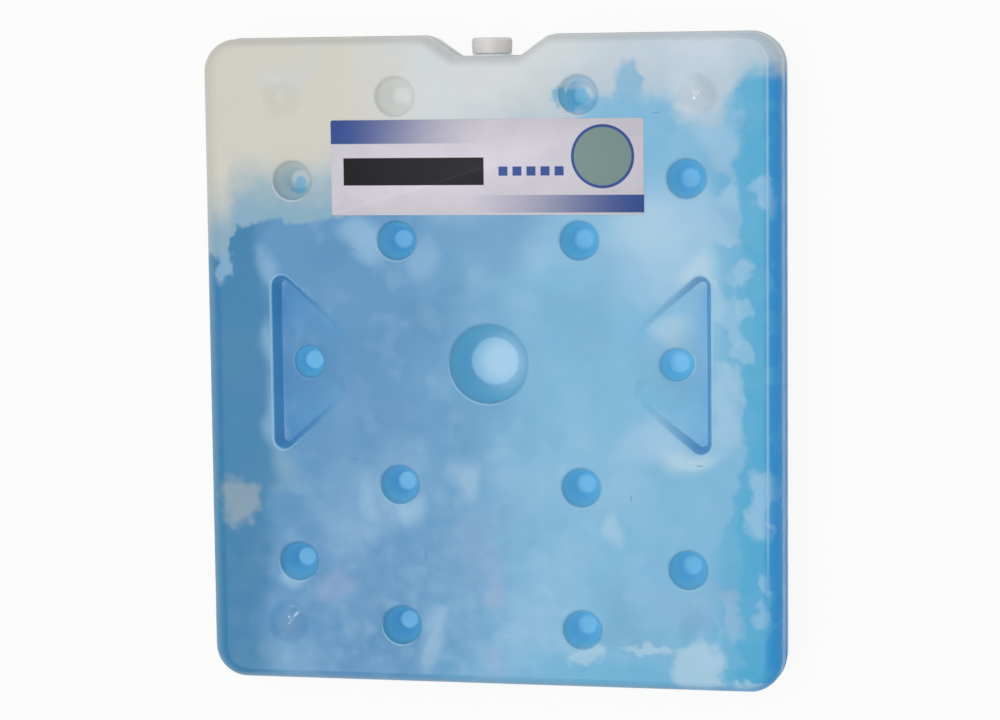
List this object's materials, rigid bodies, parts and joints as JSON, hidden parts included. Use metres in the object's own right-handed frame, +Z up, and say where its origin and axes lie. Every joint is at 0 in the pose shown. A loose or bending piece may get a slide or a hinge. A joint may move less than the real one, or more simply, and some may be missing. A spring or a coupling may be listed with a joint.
{
  "type": "reusable ice pack",
  "caption": "Flat rectangular freezer pack: translucent blow-moulded shell with weld dimples, hand grips and a capped filler neck in a notch, part filled with blue gel",
  "frame": {"origin": "centre of the back face's plane, under the middle of the body's bounding box", "axes": "X across the pack, Y from its foot towards the filler cap, Z up out of the front face that carries the label"},
  "size_m": [0.2706, 0.3016, 0.0374],
  "materials": {
    "shell": "satin translucent natural polyethylene",
    "gel": "blue gel seen through the shell",
    "cap": "satin milky polyethylene",
    "label": "printed film label"
  },
  "bodies": {
    "root": {"shell": "shell", "gel_fill": "gel", "filler_cap": "cap", "label": "label"}
  },
  "joints": []
}
